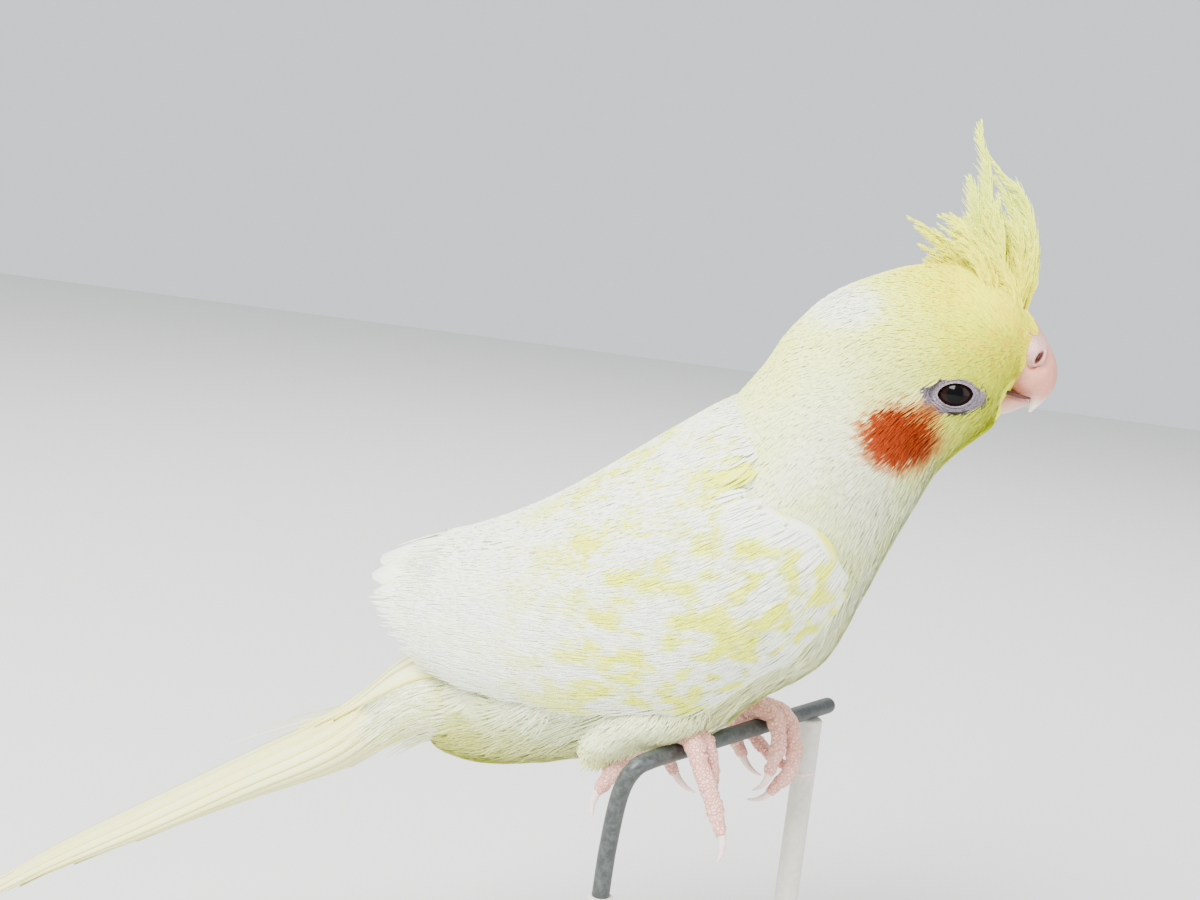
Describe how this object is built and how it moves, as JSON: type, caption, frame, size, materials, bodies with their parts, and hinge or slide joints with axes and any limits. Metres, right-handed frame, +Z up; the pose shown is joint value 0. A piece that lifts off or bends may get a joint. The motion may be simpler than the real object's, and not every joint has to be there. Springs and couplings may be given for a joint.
{
  "type": "cockatiel model",
  "caption": "Life size still model of a pale yellow cockatiel with a raised crest, gripping a cut length of bent wire above a flat base with rods.",
  "frame": {"origin": "centre of the underside of the stand's flat base", "axes": "+X the way the bird faces, +Y to the bird's left, +Z up"},
  "size_m": [0.2245, 0.09, 0.2068],
  "materials": {
    "plumage": "soft white feathers with a yellow wash",
    "crown_plumage": "short pale yellow feathers",
    "crest_plumage": "long yellow feathers with loose barbs",
    "wing_plumage": "white flight feathers, mottled pale yellow",
    "tail_plumage": "pale yellow tail feathers with an ochre shaft line",
    "cere_skin": "bare pink grey skin",
    "horn": "satin horn, pale at the tip",
    "eye": "wet dark brown",
    "foot_skin": "scaled pink skin",
    "claw": "pale translucent horn",
    "wire": "dark grey worn enamel",
    "stand": "matt light grey paint"
  },
  "bodies": {
    "root": {"torso": "plumage", "neck": "plumage", "head": "crown_plumage", "crest": "crest_plumage", "cere": "cere_skin", "beak_upper": "horn", "beak_lower": "horn", "eye_left": "eye", "eye_right": "eye", "wing_left": "wing_plumage", "wing_right": "wing_plumage", "tail": "tail_plumage", "thigh_left": "plumage", "thigh_right": "plumage", "foot_left": "foot_skin", "foot_right": "foot_skin", "claw_left_1": "claw", "claw_left_2": "claw", "claw_left_3": "claw", "claw_left_4": "claw", "claw_right_1": "claw", "claw_right_2": "claw", "claw_right_3": "claw", "claw_right_4": "claw", "perch_wire": "wire", "stand_base": "stand", "stand_rod_near": "stand", "stand_rod_far": "stand"}
  },
  "joints": []
}
